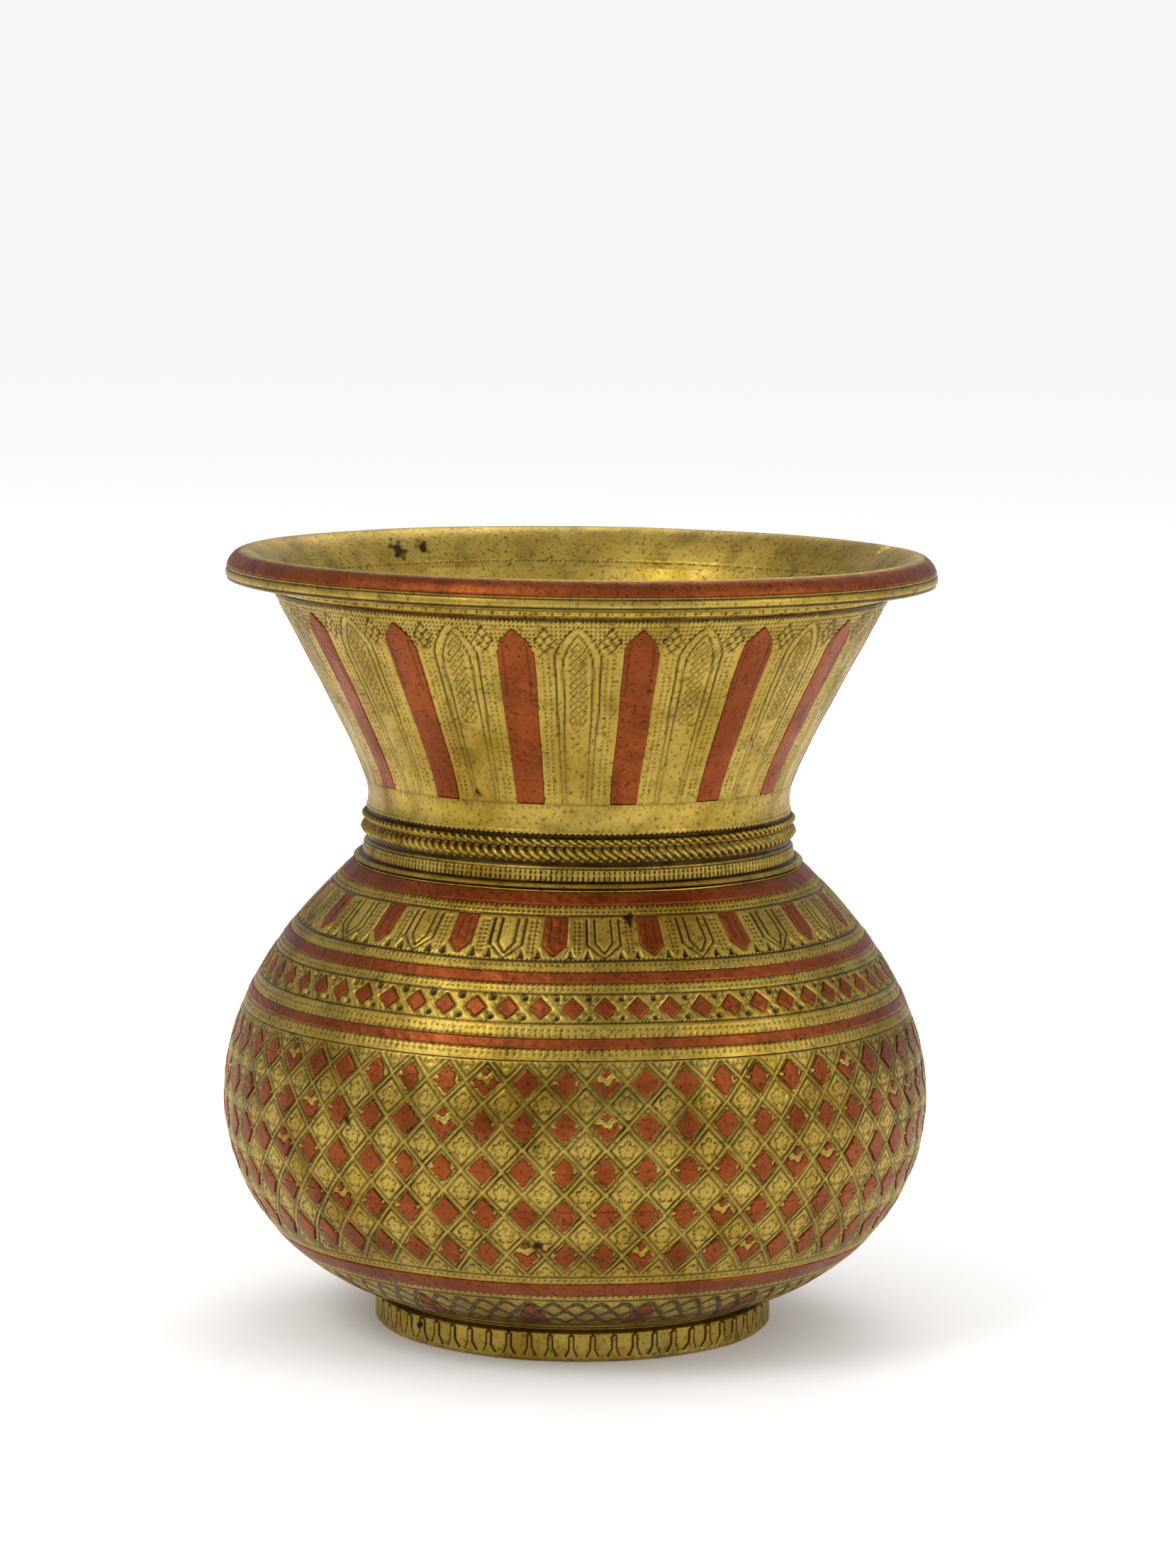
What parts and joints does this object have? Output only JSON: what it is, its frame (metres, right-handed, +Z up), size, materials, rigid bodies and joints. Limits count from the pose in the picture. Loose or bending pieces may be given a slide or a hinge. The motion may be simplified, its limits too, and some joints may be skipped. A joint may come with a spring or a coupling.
{
  "type": "lota",
  "caption": "Round-bellied brass water pot on a low foot, with a roped collar, a flared neck with a thick everted lip, and inlaid copper bands and pointed lappets.",
  "frame": {"origin": "centre of the foot's resting face", "axes": "+Z up along the turning axis, -Y towards the pictured side"},
  "size_m": [0.1204, 0.1204, 0.132],
  "materials": {
    "brass": "hand-finished, softly polished and patinated",
    "copper": "hammered inlay, satin with brown patina"
  },
  "bodies": {
    "root": {"foot_ring": "brass", "bowl": "brass", "collar_ring": "brass", "neck_funnel": "brass", "base_band": "copper", "belly_band": "copper", "frieze_band": "copper", "shoulder_band": "copper", "rim_band": "copper", "neck_lappet_01": "copper", "neck_lappet_02": "copper", "neck_lappet_03": "copper", "neck_lappet_04": "copper", "neck_lappet_05": "copper", "neck_lappet_06": "copper", "neck_lappet_07": "copper", "neck_lappet_08": "copper", "neck_lappet_09": "copper", "neck_lappet_10": "copper", "neck_lappet_11": "copper", "neck_lappet_12": "copper", "neck_lappet_13": "copper", "neck_lappet_14": "copper", "neck_lappet_15": "copper", "shoulder_lappet_01": "copper", "shoulder_lappet_02": "copper", "shoulder_lappet_03": "copper", "shoulder_lappet_04": "copper", "shoulder_lappet_05": "copper", "shoulder_lappet_06": "copper", "shoulder_lappet_07": "copper", "shoulder_lappet_08": "copper", "shoulder_lappet_09": "copper", "shoulder_lappet_10": "copper", "shoulder_lappet_11": "copper", "shoulder_lappet_12": "copper", "shoulder_lappet_13": "copper", "shoulder_lappet_14": "copper", "shoulder_lappet_15": "copper", "shoulder_lappet_16": "copper", "shoulder_lappet_17": "copper", "shoulder_lappet_18": "copper", "base_lappet_01": "copper", "base_lappet_02": "copper", "base_lappet_03": "copper", "base_lappet_04": "copper", "base_lappet_05": "copper", "base_lappet_06": "copper", "base_lappet_07": "copper", "base_lappet_08": "copper", "base_lappet_09": "copper", "base_lappet_10": "copper", "base_lappet_11": "copper", "base_lappet_12": "copper", "base_lappet_13": "copper", "base_lappet_14": "copper", "base_lappet_15": "copper"}
  },
  "joints": []
}
